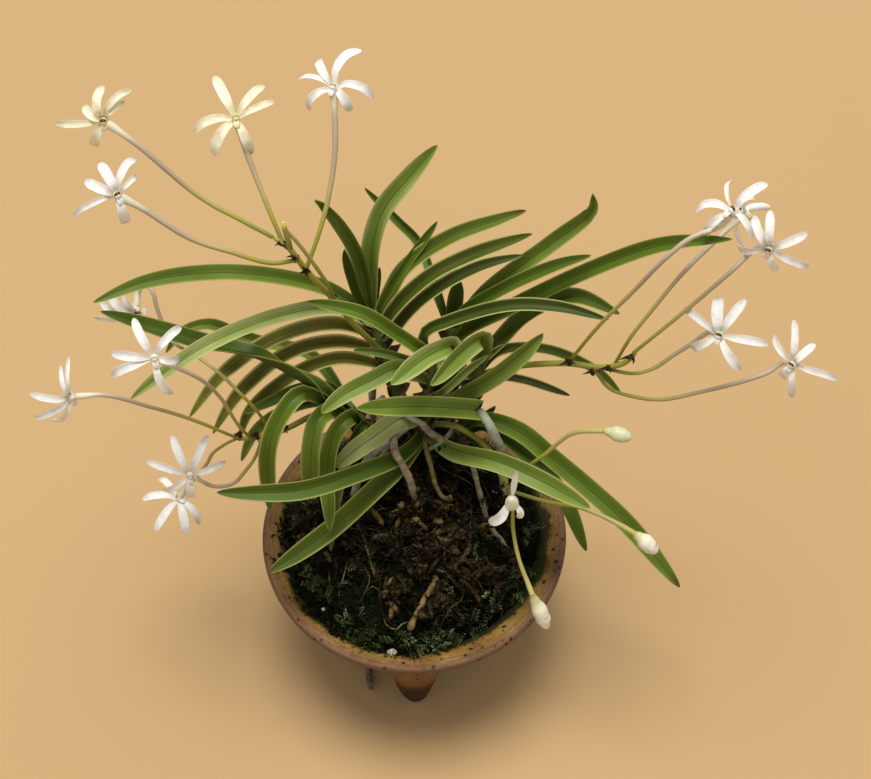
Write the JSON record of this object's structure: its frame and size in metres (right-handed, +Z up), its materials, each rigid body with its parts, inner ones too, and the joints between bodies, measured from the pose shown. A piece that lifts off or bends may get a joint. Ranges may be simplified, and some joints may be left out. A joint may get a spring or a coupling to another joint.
{
  "type": "potted orchid plant",
  "caption": "Wind orchid with arching strap leaves, moss mound and sprays of small white flowers, growing in a round footed stoneware bowl.",
  "frame": {"origin": "centre of the bounding box's footprint, at the height of the undersides of the bowl's feet", "axes": "+Z up; +X to the viewer's right, along the spread of the flower sprays; -Y towards the viewer and the front foot"},
  "size_m": [0.2418, 0.1246, 0.227],
  "materials": {
    "stoneware": "semi-matt ochre-brown stoneware with dark iron specks",
    "pumice": "rough pale pumice grains",
    "moss": "dark green living moss with brown root debris",
    "leaf_green": "waxy leaf, satin green with a paler margin",
    "root_grey": "silvery grey-green root skin",
    "root_brown": "dry brown-grey root skin",
    "stalk_green": "smooth yellow-green stalk",
    "tepal_white": "soft matt white petal",
    "tepal_cream": "soft matt cream petal"
  },
  "bodies": {
    "root": {"bowl": "stoneware", "pumice_fill": "pumice", "moss_mound": "moss", "drain_root": "root_brown", "fan_main": "leaf_green", "fan_back": "leaf_green", "fan_front": "leaf_green", "fan_right": "leaf_green", "fan_left": "leaf_green", "root_right": "root_grey", "root_left": "root_grey", "root_front": "root_brown", "root_middle": "root_brown", "root_brown": "root_brown", "root_behind": "root_grey", "root_far_left": "root_grey", "old_spike": "root_brown", "spray_upper": "stalk_green", "spray_left": "stalk_green", "spray_right": "stalk_green", "spray_low": "stalk_green", "bloom_upper_1": "tepal_cream", "bloom_upper_2": "tepal_white", "bloom_upper_3": "tepal_cream", "bloom_upper_4": "tepal_white", "bloom_left_1": "tepal_white", "bloom_left_2": "tepal_white", "bloom_left_3": "tepal_white", "bloom_left_4": "tepal_white", "bloom_left_5": "tepal_white", "bloom_right_1": "tepal_white", "bloom_right_2": "tepal_white", "bloom_right_3": "tepal_white", "bloom_right_4": "tepal_white", "bloom_right_5": "tepal_white", "bud_low": "tepal_white", "bud_side": "tepal_white", "bud_green": "tepal_white", "bloom_opening": "tepal_white"}
  },
  "joints": []
}
